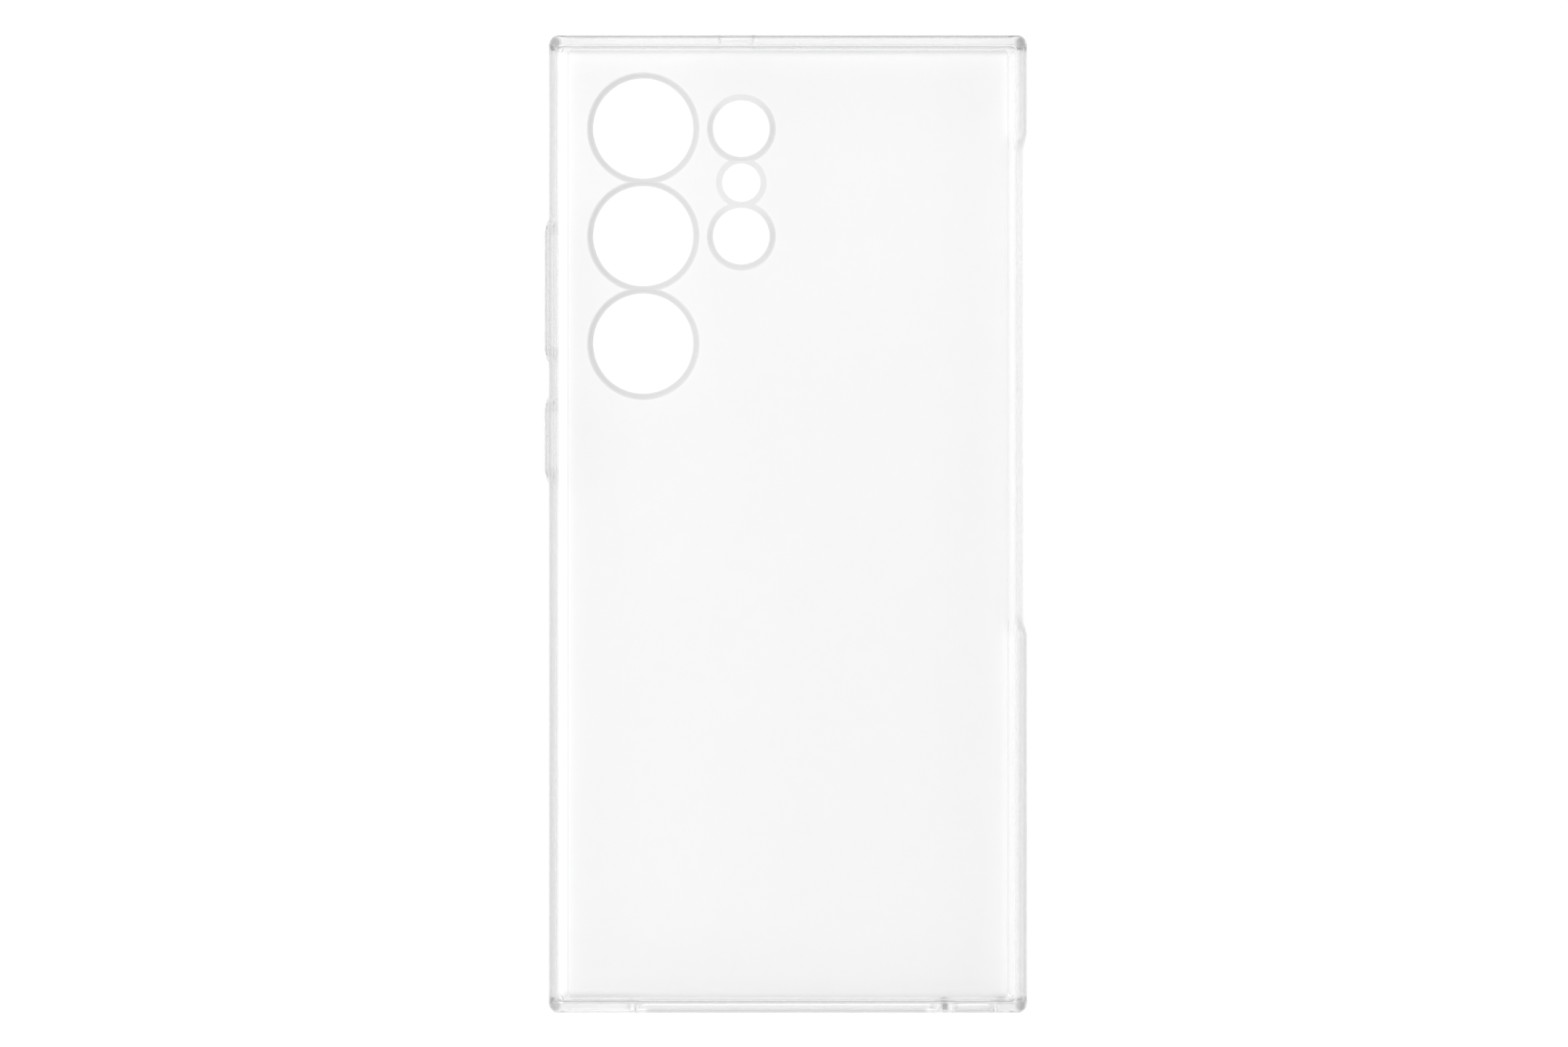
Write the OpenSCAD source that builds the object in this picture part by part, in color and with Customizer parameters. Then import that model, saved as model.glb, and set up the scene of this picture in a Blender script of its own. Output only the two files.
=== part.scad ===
// Clear two-shot case for a large square-cornered phone.
// The case lies face down: the front rim is on z = 0, the outside of the back looks up (+Z),
// the top of the phone is +Y, and the keys are on the -X side.

/* [Phone] */
// Width of the phone that the case holds
phone_w = 78.1; // [77:0.1:80]
// Height of the phone
phone_h = 163.4; // [162:0.1:166]
// Thickness of the phone
phone_t = 8.9; // [8.5:0.1:9.5]
// Radius of the phone's corners, seen from the back
phone_corner_r = 1.2; // [0.8:0.1:1.5]
// Radius of the phone's long edges
phone_side_r = 0.7; // [0.5:0.1:1.6]
// Radius of the phone's short edges
phone_end_r = 1.1; // [0.6:0.1:1.3]

/* [Shell] */
// Wall on the side that carries the keys
key_side_wall = 1.45; // [1.3:0.05:1.8]
// Wall on the plain side, where it is full
plain_side_wall = 1.95; // [1.8:0.05:2.3]
// Wall at the top and the bottom
end_wall = 1.5; // [1.3:0.05:1.8]
// Thickness of the back
back_t = 1.3; // [1.1:0.05:1.6]
// Thickness of the front lip that holds the phone in
lip_t = 1.3; // [1.1:0.05:1.6]
// Reach of the front lip over the long edges of the display
lip_side = 0.9; // [0.6:0.1:1.3]
// Reach of the front lip over the short edges of the display
lip_end = 1.0; // [0.8:0.1:1.6]
// Radius of the shell's corners, seen from the back
corner_r = 1.7; // [1.5:0.1:2.5]
// Radius where the back turns into the long walls
shoulder_r = 3.1; // [2.5:0.1:3.4]
// Radius where the back turns into the short walls
end_r = 1.0; // [0.6:0.1:1.2]
// Radius of the rim's outer edge
rim_r = 0.8; // [0.4:0.1:1]

/* [Back panel] */
// Gap in plan from the outside of a long wall to the hard panel's face
panel_side_in = 3.3; // [3.2:0.05:3.6]
// Gap in plan from the outside of a short wall to the hard panel's face
panel_end_in = 2.2; // [2.1:0.05:2.6]
// Width of the tongue that the frame is moulded over
tongue_w = 0.7; // [0.5:0.05:0.9]
// Thickness of that tongue
tongue_t = 0.6; // [0.4:0.05:0.7]
// Radius of the panel's corners
panel_corner_r = 1.6; // [1.2:0.1:2.5]
// Radius of the tongue's corners
tongue_corner_r = 0.9; // [0.8:0.1:2.3]

/* [Camera apertures] */
// Distance from the centre line to the column of large apertures
large_x = -24.4; // [-25:0.1:-24]
// Distance from the centre line to the column of small apertures
small_x = -7.7; // [-8:0.1:-7.4]
// Height of the top row above the middle of the case
top_row_y = 67.3; // [66.8:0.1:67.6]
// Distance between rows
row_pitch = 18.3; // [18.1:0.1:18.6]
// Height of the flash aperture above the middle of the case
flash_y = 58.1; // [57.9:0.1:58.4]
// Radius of the bead's crest round a large aperture
large_r = 9.0; // [8.8:0.05:9]
// Radius of the bead's crest round a small aperture
small_r = 5.3; // [5.1:0.05:5.4]
// Radius of the bead's crest round the flash aperture
flash_r = 3.75; // [3.6:0.05:3.8]
// Radius of the half-round bead
bead_r = 0.5; // [0.4:0.05:0.7]

/* [Keys] */
// Height of the volume bar's middle above the middle of the case
volume_y = 39.7; // [39:0.1:40.5]
// Length of the volume bar where it leaves the wall
volume_l = 24.3; // [23:0.1:25]
// Height of the side key's middle above the middle of the case
side_key_y = 14.4; // [13.5:0.1:15]
// Length of the side key where it leaves the wall
side_key_l = 14.7; // [14:0.1:15.5]
// Width of both keys, front to back
key_w = 4.4; // [4:0.1:4.8]
// Height of the keys above the wall
key_rise = 1.05; // [0.8:0.05:1.2]
// Radius in plan of the keys' sloping ends
key_end_r = 4.4; // [3.5:0.1:5]
// Radius across the keys' long edges
key_edge_r = 1.7; // [1:0.1:2]
// Width of the groove round each key
moat = 0.6; // [0.5:0.05:0.8]
// Thickness of the flexible web at the bottom of the groove
web_t = 0.4; // [0.3:0.05:0.5]
// Clearance between a web and its key
key_gap = 0.12; // [0.1:0.01:0.2]
// Depth inside each key that clears the phone's own key
key_hollow = 0.5; // [0.4:0.05:0.6]

/* [Openings] */
// Length of the port and speaker opening in the bottom wall
port_l = 53.2; // [50:0.1:54]
// Height of the openings in the bottom wall
port_h = 5.6; // [5:0.1:6]
// Middle of the stylus opening, from the centre line
stylus_x = 31.7; // [31.6:0.1:32.2]
// Length of the stylus opening
stylus_l = 8.4; // [8:0.1:8.5]
// Radius of the stylus opening's corners
stylus_r = 2.1; // [1.5:0.1:2.5]
// Middle of the top microphone opening, from the centre line
mic_x = -8.6; // [-10:0.1:-7]
// Length of the microphone opening
mic_l = 6.4; // [5:0.1:8]
// Height of the microphone opening
mic_h = 2.4; // [2:0.1:3]
// Width of the rim round the microphone opening
mic_rim_w = 0.6; // [0.4:0.1:0.8]
// Height of that rim above the wall
mic_rim_t = 0.2; // [0.15:0.05:0.3]
// How much wider the mouths of the openings in the bottom wall are
mouth_w = 0.45; // [0.3:0.05:0.5]
// Depth of those mouths
mouth_t = 0.4; // [0.2:0.05:0.6]

/* [Side relief] */
// Upper end of the slimmer stretch of the plain side
relief_top = 63.4; // [60:0.1:64]
// Lower end of the slimmer stretch
relief_bottom = -15.9; // [-18:0.1:-14]
// How much slimmer the wall is there
relief_depth = 0.68; // [0.5:0.02:0.75]
// Length of the ramp at each end
relief_ramp = 3.4; // [3:0.1:5]
// How far the rim is cut back there
relief_rim = 0.9; // [0.5:0.1:1]

/* [Hidden] */
$fn = 96;
slack = 1;
overlap = 0.15;
clear_plastic = [0.93, 0.95, 0.96, 0.5];
clear_rubber = [0.82, 0.88, 0.91, 0.6];
depth = lip_t + phone_t + back_t;
back_in = lip_t + phone_t;
mid_z = lip_t + phone_t / 2;
key_face = phone_w / 2 + key_side_wall;
plain_face = phone_w / 2 + plain_side_wall;
outer_w = key_face + plain_face;
outer_mid = (plain_face - key_face) / 2;
outer_h = phone_h + 2 * end_wall;
panel_w = outer_w - 2 * panel_side_in;
panel_h = outer_h - 2 * panel_end_in;
key_inside = phone_w / 2 + key_hollow;
relief_mid = (relief_top + relief_bottom) / 2;
relief_l = relief_top - relief_bottom;
relief_angle = atan(relief_depth / relief_ramp);

// ---- outlines ----

// Rectangle about the origin with round corners
module rounded(w, h, r) {
    square([w - 2 * r, h], center = true);
    square([w, h - 2 * r], center = true);
    for (x = [-1, 1], y = [-1, 1])
        translate([x * (w / 2 - r), y * (h / 2 - r)]) circle(r);
}

// Slot outline: a rectangle between two half circles
module stadium(l, w) {
    square([l - w, w], center = true);
    for (end = [-1, 1])
        translate([end * (l - w) / 2, 0]) circle(w / 2);
}

// Cross-section that stands on y = 0, with its own radii at the front (low) and the back (high)
module section(w, t, front_r, back_r) {
    translate([-w / 2 + front_r, 0]) square([w - 2 * front_r, front_r]);
    translate([-w / 2, front_r]) square([w, t - front_r - back_r]);
    translate([-w / 2 + back_r, t - back_r]) square([w - 2 * back_r, back_r]);
    for (side = [-1, 1]) {
        translate([side * (w / 2 - front_r), front_r]) circle(front_r);
        translate([side * (w / 2 - back_r), t - back_r]) circle(back_r);
    }
}

// Extrudes an outline drawn in X and Z along the case's height
module along_y(l) {
    rotate([90, 0, 0]) linear_extrude(l, center = true) children();
}

// Extrudes an outline drawn in Y and Z across the case's width
module along_x(l) {
    rotate([90, 0, 90]) linear_extrude(l, center = true) children();
}

// ---- bodies that the parts are cut from ----

// Block whose long edges and short edges are rounded differently
module pillow(w, h, t, plan_r, front_r, side_back_r, end_back_r) {
    intersection() {
        linear_extrude(t) rounded(w, h, plan_r);
        along_y(h + slack) section(w, t, front_r, side_back_r);
        along_x(w + slack) section(h, t, front_r, end_back_r);
    }
}

module shell_outside() {
    translate([outer_mid, 0, 0])
        pillow(outer_w, outer_h, depth, corner_r, rim_r, shoulder_r, end_r);
}

module phone_space() {
    translate([0, 0, lip_t])
        pillow(phone_w, phone_h, phone_t, phone_corner_r, phone_end_r, phone_side_r, phone_end_r);
}

// Window in the lip, wider at the rim than at the display
module front_window() {
    side = phone_w / 2 - lip_side;
    end = phone_h / 2 - lip_end;
    flare = lip_t / 2;
    inward = lip_t + phone_end_r;
    intersection() {
        along_y(phone_h)
            polygon([[-side - flare, -flare], [-side, flare], [-side, inward],
                     [side, inward], [side, flare], [side + flare, -flare]]);
        along_x(phone_w)
            polygon([[-end - flare, -flare], [-end, flare], [-end, inward],
                     [end, inward], [end, flare], [end + flare, -flare]]);
    }
}

// The hard panel's outline, with the tongue below its face
module panel_blank() {
    translate([outer_mid, 0, back_in]) {
        linear_extrude(back_t) rounded(panel_w, panel_h, panel_corner_r);
        linear_extrude(tongue_t)
            rounded(panel_w + 2 * tongue_w, panel_h + 2 * tongue_w, tongue_corner_r);
    }
}

// ---- camera apertures ----

module at_each_aperture() {
    for (row = [0:2])
        translate([large_x, top_row_y - row * row_pitch, 0]) {
            $crest = large_r;
            children();
        }
    for (row = [0:1])
        translate([small_x, top_row_y - row * row_pitch, 0]) {
            $crest = small_r;
            children();
        }
    translate([small_x, flash_y, 0]) {
        $crest = flash_r;
        children();
    }
}

module bead(crest) {
    translate([0, 0, depth]) rotate_extrude() translate([crest, 0]) circle(bead_r, $fn = 32);
}

module aperture(crest) {
    translate([0, 0, back_in - slack]) cylinder(r = crest - bead_r, h = back_t + bead_r + 2 * slack);
}

// ---- keys ----

// Round-ended plug across the key-side wall, seen from the side
module key_plug(l, w, outside, inside) {
    translate([-(outside + inside) / 2, 0, mid_z])
        along_x(outside - inside) stadium(l, w);
}

// Solid key: sloping ends in plan, rounded long edges in section, round ends from the side
module key(l) {
    top = key_face + key_rise;
    run = sqrt(pow(key_end_r, 2) - pow(key_end_r - key_rise, 2));
    plan_l = l + 2 * (key_end_r - run);
    intersection() {
        key_plug(l, key_w, top + slack, key_inside);
        linear_extrude(depth)
            translate([-top + key_end_r * 2, 0]) rounded(4 * key_end_r, plan_l, key_end_r);
        translate([0, 0, mid_z])
            along_y(l + slack)
                translate([-top + key_edge_r * 2, 0]) rounded(4 * key_edge_r, key_w, key_edge_r);
    }
}

// Flexible ring that joins a key to the wall round it
module web(l) {
    difference() {
        key_plug(l + 2 * moat, key_w + 2 * moat, key_inside + web_t, key_inside);
        key_plug(l + 2 * key_gap, key_w + 2 * key_gap, key_inside + web_t + slack, key_inside - slack);
    }
}

module key_opening(l) {
    key_plug(l + 2 * moat, key_w + 2 * moat, key_face + slack, phone_w / 2 - slack);
}

// ---- openings in the short walls ----

// Places an outline in the bottom wall: child 0 goes through it, child 1 is its wider mouth
module bottom_opening(x) {
    mouth = phone_h / 2 + end_wall;
    translate([x, -mouth, mid_z]) {
        translate([0, end_wall / 2, 0]) along_y(end_wall + 2 * slack) children(0);
        along_y(2 * mouth_t) children(1);
    }
}

module port_opening() {
    bottom_opening(0) {
        stadium(port_l, port_h);
        stadium(port_l + mouth_w, port_h + mouth_w);
    }
}

module stylus_opening() {
    bottom_opening(stylus_x) {
        rounded(stylus_l, port_h, stylus_r);
        rounded(stylus_l + mouth_w, port_h + mouth_w, stylus_r + mouth_w / 2);
    }
}

module mic_rim() {
    translate([mic_x, phone_h / 2 + end_wall, mid_z])
        along_y(2 * mic_rim_t) stadium(mic_l + 2 * mic_rim_w, mic_h + 2 * mic_rim_w);
}

module mic_opening() {
    translate([mic_x, phone_h / 2 + end_wall / 2, mid_z])
        along_y(end_wall + 2 * slack) stadium(mic_l, mic_h);
}

// ---- the slimmer stretch of the plain side ----

// Everything outside the slim wall's section, in from where its shoulder starts
module relief_section() {
    reach = relief_depth + shoulder_r;
    difference() {
        translate([plain_face - reach, -slack]) square([reach + 2 * slack, depth + 2 * slack]);
        translate([plain_face - relief_depth - outer_w / 2, 0])
            section(outer_w, depth, rim_r, shoulder_r);
    }
}

// Lowered stretch of the rim, with a ramp at each end
module relief_rim_cut() {
    inside = phone_w / 2 - lip_side - lip_t;
    outside = plain_face + slack;
    translate([(inside + outside) / 2, 0, 0])
        along_x(outside - inside)
            polygon([[relief_bottom - 2 * relief_ramp, -relief_rim], [relief_bottom, relief_rim],
                     [relief_top, relief_rim], [relief_top + 2 * relief_ramp, -relief_rim]]);
}

// Piece of the relief that starts at one of its ends and is turned about that end
module relief_piece(end, turn, start, l) {
    translate([plain_face - relief_depth, relief_mid + end * relief_l / 2, 0])
        rotate([0, 0, -end * turn])
            translate([relief_depth - plain_face, end * (start + l / 2), 0])
                along_y(l) relief_section();
}

// Straight stretch, and at each end a ramp and the mitre between the two. The ramp's piece runs on
// until it is clear of the wall.
module relief() {
    mitre_l = shoulder_r * sin(relief_angle) + overlap;
    relief_rim_cut();
    translate([0, relief_mid, 0]) along_y(relief_l) relief_section();
    for (end = [-1, 1]) {
        relief_piece(end, relief_angle / 2, -mitre_l / 2, mitre_l);
        relief_piece(end, relief_angle, 0, 2 * relief_ramp);
    }
}

// ---- parts ----

// Hard clear back with a half-round bead round every camera aperture
module back_panel() {
    color(clear_plastic)
        difference() {
            union() {
                intersection() {
                    panel_blank();
                    shell_outside();
                }
                at_each_aperture() bead($crest);
            }
            at_each_aperture() aperture($crest);
        }
}

// Flexible clear frame: four walls, the shoulders, the front lip and the tongue's cover
module bumper_frame() {
    color(clear_rubber)
        difference() {
            union() {
                shell_outside();
                mic_rim();
            }
            phone_space();
            front_window();
            panel_blank();
            relief();
            translate([0, volume_y, 0]) key_opening(volume_l);
            translate([0, side_key_y, 0]) key_opening(side_key_l);
            port_opening();
            stylus_opening();
            mic_opening();
        }
}

module volume_bar() {
    color(clear_rubber) translate([0, volume_y, 0]) key(volume_l);
}

module volume_web() {
    color(clear_rubber) translate([0, volume_y, 0]) web(volume_l);
}

module side_key() {
    color(clear_rubber) translate([0, side_key_y, 0]) key(side_key_l);
}

module side_key_web() {
    color(clear_rubber) translate([0, side_key_y, 0]) web(side_key_l);
}

back_panel();
bumper_frame();
volume_bar();
volume_web();
side_key();
side_key_web();
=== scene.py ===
"""Looks of a clear two-shot phone case: a hard glossy back bonded into a flexible clear frame.

The CAD model gives every place and size. Each of its nodes is replaced here by a smoother mesh of
the same piece, with clear plastics that bend light. Lengths are in millimetres until a mesh is
made, which is in metres. X runs across the case, Y up it and Z out of its back.
"""
import math
from collections import namedtuple
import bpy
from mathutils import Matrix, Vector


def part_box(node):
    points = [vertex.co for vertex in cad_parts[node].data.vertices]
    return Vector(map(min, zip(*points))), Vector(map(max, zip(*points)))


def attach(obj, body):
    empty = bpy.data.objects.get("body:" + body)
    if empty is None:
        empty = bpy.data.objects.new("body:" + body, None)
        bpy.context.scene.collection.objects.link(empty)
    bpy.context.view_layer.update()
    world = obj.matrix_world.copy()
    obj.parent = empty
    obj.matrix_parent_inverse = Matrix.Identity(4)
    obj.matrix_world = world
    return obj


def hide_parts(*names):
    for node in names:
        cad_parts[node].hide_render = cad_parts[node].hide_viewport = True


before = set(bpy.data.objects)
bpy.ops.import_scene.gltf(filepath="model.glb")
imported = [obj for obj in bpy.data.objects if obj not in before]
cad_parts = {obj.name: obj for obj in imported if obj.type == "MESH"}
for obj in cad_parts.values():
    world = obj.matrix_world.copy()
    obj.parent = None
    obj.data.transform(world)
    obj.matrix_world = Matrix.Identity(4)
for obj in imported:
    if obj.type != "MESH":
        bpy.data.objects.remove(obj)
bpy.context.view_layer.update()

from types import SimpleNamespace

import bmesh
import bpy
from mathutils import Vector

MM = 0.001

# The phone that the case holds
PHONE_HALF_W = 39.05
PHONE_HALF_H = 81.7

# The shell's section, from the front (low) to the back (high)
LIP_Z = 1.3
BACK_IN_Z = 10.2
RIM_R = 0.8
SIDE_SHOULDER_R = 3.1
END_SHOULDER_R = 1.0
SIDE_CAVITY_R = 0.7
END_CAVITY_R = 1.1
SIDE_LIP = 0.9
END_LIP = 1.0
FRONT_R = 0.6
NOSE_R = 0.25
WINDOW_FLARE = 0.325
WINDOW_KNEE_Z = 0.65
KNEE_R = 0.3
WINDOW_EDGE_R = 0.2

# Spans of the section's round corners
RIM_STEPS = 6
SHOULDER_STEPS = 14
SEAM_STEPS = 3
CAVITY_STEPS = 12
FRONT_STEPS = 7
NOSE_STEPS = 4
KNEE_STEPS = 3
WINDOW_STEPS = 3

# The hard panel and the tongue that the frame grips
PANEL_SIDE_IN = 3.3
PANEL_END_IN = 2.2
TONGUE_W = 0.7
TONGUE_T = 0.6
SEAM_R = 0.02
BOND_GAP = 0.01

# Radii seen from the back
SHELL_CORNER_R = 1.7
PANEL_CORNER_R = 1.6
CAVITY_CORNER_R = 1.2
TONGUE_CORNER_R = 0.9
CEILING_CORNER_R = 0.8
RIM_CORNER_R = 1.0

# The slimmer stretch of the plain side
RELIEF_TOP = 63.4
RELIEF_BOTTOM = -15.9
RELIEF_DEPTH = 0.68
RELIEF_RAMP = 3.4
RELIEF_RIM = 0.9

# Places along the walls that get a point: spacing and number each way from the middle
ROW_PITCH_Y = 6.0
ROWS_EACH_WAY = 13
ROW_CLEARANCE = 0.5
COLUMN_PITCH_X = 6.8
COLUMNS_EACH_WAY = 5
TURN_STEPS = 12

# Camera, sensor and flash apertures: place and radius of the bead's crest
LARGE_X = -24.4
SMALL_X = -7.7
TOP_ROW_Y = 67.3
ROW_PITCH = 18.3
FLASH_Y = 58.1
LARGE_R = 9.0
SMALL_R = 5.3
FLASH_R = 3.75
APERTURES = [(LARGE_X, TOP_ROW_Y - row * ROW_PITCH, LARGE_R) for row in range(3)]
APERTURES += [(SMALL_X, TOP_ROW_Y - row * ROW_PITCH, SMALL_R) for row in range(2)]
APERTURES += [(SMALL_X, FLASH_Y, FLASH_R)]
COLUMN_SPLIT_X = (LARGE_X + SMALL_X) / 2 + 1.5
BEAD_R = 0.5
BEAD_FOOT = 0.15
BEAD_SUNK = 0.4
APERTURE_EDGE_R = 0.3
CIRCLE_STEPS = 160

# Openings in the short walls
Opening = namedtuple("Opening", "middle length height radius")
PORT = Opening(0.0, 53.2, 5.6, 2.8)
STYLUS = Opening(31.7, 8.4, 5.6, 2.1)
MICROPHONE = Opening(-8.6, 6.4, 2.4, 1.2)
MOUTH_R = 0.35
MIC_EDGE_R = 0.25
MIC_RIM_W = 0.6
MIC_RIM_T = 0.2
MIC_RIM_SUNK = 0.5
EDGE_STEPS = 6
TOOL_REACH = 1.0

# Keys, and the webs at the bottom of the grooves round them
KEY_END_R = 4.4
KEY_EDGE_R = 1.7
KEY_BLEND = 0.18
KEY_FOOT_H = 0.3
KEY_FOOT_IN = 0.15
KEY_LOWEST = 0.35
KEY_RIDGE_HALF = 0.25
KEY_RINGS = 10
GROOVE_EDGE_R = 0.25
WEB_GAP = 0.03
WEB_TROUGH = 0.16
WEB_STEPS = 8


# ---------------------------------------------------------------- places from the CAD

def box_mm(node):
    low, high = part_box(node)
    return Vector(low) / MM, Vector(high) / MM


SHELL_LOW, SHELL_HIGH = box_mm("bumper_frame")
KEY_WALL = -SHELL_LOW.x
PLAIN_WALL = SHELL_HIGH.x
END_WALL = -SHELL_LOW.y
BACK_Z = SHELL_HIGH.z
MID_Z = (LIP_Z + BACK_IN_Z) / 2
MID_X = (PLAIN_WALL - KEY_WALL) / 2
PANEL_HALF_W = (PLAIN_WALL + KEY_WALL) / 2 - PANEL_SIDE_IN
PANEL_HALF_H = END_WALL - PANEL_END_IN


def island(node):
    """Of a key or web: middle along the wall, half length, half width, outer and inner face."""
    low, high = box_mm(node)
    return (low.y + high.y) / 2, (high.y - low.y) / 2, (high.z - low.z) / 2, -low.x, -high.x


# ---------------------------------------------------------------- outlines

def lerp(a, b, t):
    return a + (b - a) * t


def smooth(t):
    t = min(max(t, 0.0), 1.0)
    return t * t * (3 - 2 * t)


def even_steps(a, b, steps):
    return [lerp(a, b, k / steps) for k in range(steps + 1)]


def quarter_turn(steps):
    """Angles from 0 to 90 degrees, in radians."""
    return [math.radians(90 * k / steps) for k in range(steps + 1)]


def fillet(before, corner, after, radius, steps):
    """Arc that rounds a corner of a polygon; the corner alone where radius is 0."""
    corner = Vector(corner)
    if radius == 0:
        return [corner]
    to_before = (Vector(before) - corner).normalized()
    to_after = (Vector(after) - corner).normalized()
    half = to_before.angle(to_after) / 2
    centre = corner + (to_before + to_after).normalized() * radius / math.sin(half)
    first = corner + to_before * radius / math.tan(half) - centre
    last = corner + to_after * radius / math.tan(half) - centre
    sweep = math.pi - 2 * half
    points = []
    for k in range(steps + 1):
        t = k / steps
        weight_first = math.sin((1 - t) * sweep) / math.sin(sweep)
        weight_last = math.sin(t * sweep) / math.sin(sweep)
        points.append(centre + first * weight_first + last * weight_last)
    return points


def rounded_outline(half_w, half_h, radius, steps=10):
    """Rectangle about the origin with round corners, counter-clockwise from the +X side."""
    points = []
    for quarter, (sx, sy) in enumerate(((1, 1), (-1, 1), (-1, -1), (1, -1))):
        for k in range(steps + 1):
            angle = math.radians(90 * (quarter + k / steps))
            points.append((sx * (half_w - radius) + radius * math.cos(angle),
                           sy * (half_h - radius) + radius * math.sin(angle)))
    return points


def stadium(half_l, half_w, inset, steps):
    """Rectangle with half-round ends, drawn in by inset."""
    return rounded_outline(half_l - inset, half_w - inset, half_w - inset, steps)


# ---------------------------------------------------------------- meshes

# Groups of faces that get a material other than the piece's own
BOND_GROUP = 1
CUT_GROUP = 2


def mesh_object(name, points, faces, groups=None):
    """Mesh object in metres from points in millimetres; groups gives each face's material."""
    mesh = bpy.data.meshes.new(name)
    mesh.from_pydata([Vector(p) * MM for p in points], [], faces)
    if groups:
        for _ in range(CUT_GROUP + 1):
            mesh.materials.append(None)
        mesh.polygons.foreach_set("material_index", groups)
    obj = bpy.data.objects.new(name, mesh)
    bpy.context.collection.objects.link(obj)
    bm = bmesh.new()
    bm.from_mesh(mesh)
    bmesh.ops.recalc_face_normals(bm, faces=bm.faces)
    bm.to_mesh(mesh)
    bm.free()
    return obj


def bake_modifiers(obj):
    """Replaces the object's mesh by what its modifiers make of it."""
    graph = bpy.context.evaluated_depsgraph_get()
    done = bpy.data.meshes.new_from_object(obj.evaluated_get(graph), preserve_all_data_layers=True,
                                           depsgraph=graph)
    old = obj.data
    obj.modifiers.clear()
    obj.data = done
    done.name = obj.name
    bpy.data.meshes.remove(old)


def combine(obj, tool, operation):
    """Exact union or difference with a tool mesh, which is used up."""
    cut = obj.modifiers.new("cut", "BOOLEAN")
    cut.operation = operation
    cut.solver = "EXACT"
    cut.object = tool
    bake_modifiers(obj)
    bpy.data.objects.remove(tool, do_unlink=True)


def finish_shading(obj, sharp_deg):
    """Smooth shading that keeps flat faces flat and real edges sharp."""
    mesh = obj.data
    bm = bmesh.new()
    bm.from_mesh(mesh)
    bmesh.ops.remove_doubles(bm, verts=bm.verts, dist=0.002 * MM)
    bmesh.ops.dissolve_degenerate(bm, edges=bm.edges, dist=0.001 * MM)
    bm.to_mesh(mesh)
    bm.free()
    mesh.polygons.foreach_set("use_smooth", [True] * len(mesh.polygons))
    mesh.set_sharp_from_angle(angle=math.radians(sharp_deg))
    weigh = obj.modifiers.new("weigh", "WEIGHTED_NORMAL")
    weigh.keep_sharp = True
    weigh.weight = 50
    bake_modifiers(obj)


def skin(rings, closed=False, groups=None):
    """Points, faces and face groups over rings of equal length; closed joins last to first."""
    count = len(rings[0])
    points = [p for ring in rings for p in ring]
    faces = []
    marks = []
    spans = len(rings) if closed else len(rings) - 1
    for i in range(spans):
        low = i * count
        high = (i + 1) % len(rings) * count
        for j in range(count):
            k = (j + 1) % count
            faces.append((low + j, low + k, high + k, high + j))
            marks.append(groups[i] if groups else 0)
    if not closed:
        faces.append(tuple(reversed(range(count))))
        faces.append(tuple(range(len(points) - count, len(points))))
        marks += [0, 0]
    return points, faces, marks


# ---------------------------------------------------------------- frame

def section(outer, phone, panel_in, shoulder_r, cavity_r, lip):
    """Closed section of one wall, as (distance from the middle, height)."""
    face = outer - panel_in
    window = phone - lip
    corners = [
        ((outer, 0.0), RIM_R, RIM_STEPS),
        ((outer, BACK_Z), shoulder_r, SHOULDER_STEPS),
        ((face, BACK_Z), SEAM_R, SEAM_STEPS),
        ((face, BACK_IN_Z + TONGUE_T), 0, 0),
        ((face + TONGUE_W, BACK_IN_Z + TONGUE_T), 0, 0),
        ((face + TONGUE_W, BACK_IN_Z), 0, 0),
        ((phone, BACK_IN_Z), cavity_r, CAVITY_STEPS),
        ((phone, LIP_Z), FRONT_R, FRONT_STEPS),
        ((window, LIP_Z), NOSE_R, NOSE_STEPS),
        ((window, WINDOW_KNEE_Z), KNEE_R, KNEE_STEPS),
        ((window + WINDOW_FLARE, 0.0), WINDOW_EDGE_R, WINDOW_STEPS),
    ]
    points = []
    for i, (corner, radius, steps) in enumerate(corners):
        before = corners[i - 1][0]
        after = corners[(i + 1) % len(corners)][0]
        if corner == (phone, BACK_IN_Z):
            before = (window, BACK_IN_Z)
        points += fillet(before, corner, after, radius, steps)
    return points


# The seam's last point starts the four spans that lie on the panel and its tongue
FIRST_BOND = RIM_STEPS + SHOULDER_STEPS + SEAM_STEPS + 2
BOND_SPANS = range(FIRST_BOND, FIRST_BOND + 4)

# Corner radius, seen from the back, of each point of the section
CORNER_RADII = (even_steps(RIM_CORNER_R, SHELL_CORNER_R, RIM_STEPS)
                + even_steps(SHELL_CORNER_R, PANEL_CORNER_R, SHOULDER_STEPS)
                + [PANEL_CORNER_R] * (SEAM_STEPS + 2)
                + [TONGUE_CORNER_R] * 2
                + even_steps(CEILING_CORNER_R, CAVITY_CORNER_R, CAVITY_STEPS)
                + even_steps(CAVITY_CORNER_R, RIM_CORNER_R, FRONT_STEPS)
                + [RIM_CORNER_R] * (NOSE_STEPS + KNEE_STEPS + WINDOW_STEPS + 3))


def relief_at(y):
    """Share of the relief's depth at a height on the plain side."""
    upper = smooth((RELIEF_TOP + RELIEF_RAMP - y) / RELIEF_RAMP)
    lower = smooth((y - RELIEF_BOTTOM + RELIEF_RAMP) / RELIEF_RAMP)
    return min(upper, lower)


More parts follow.
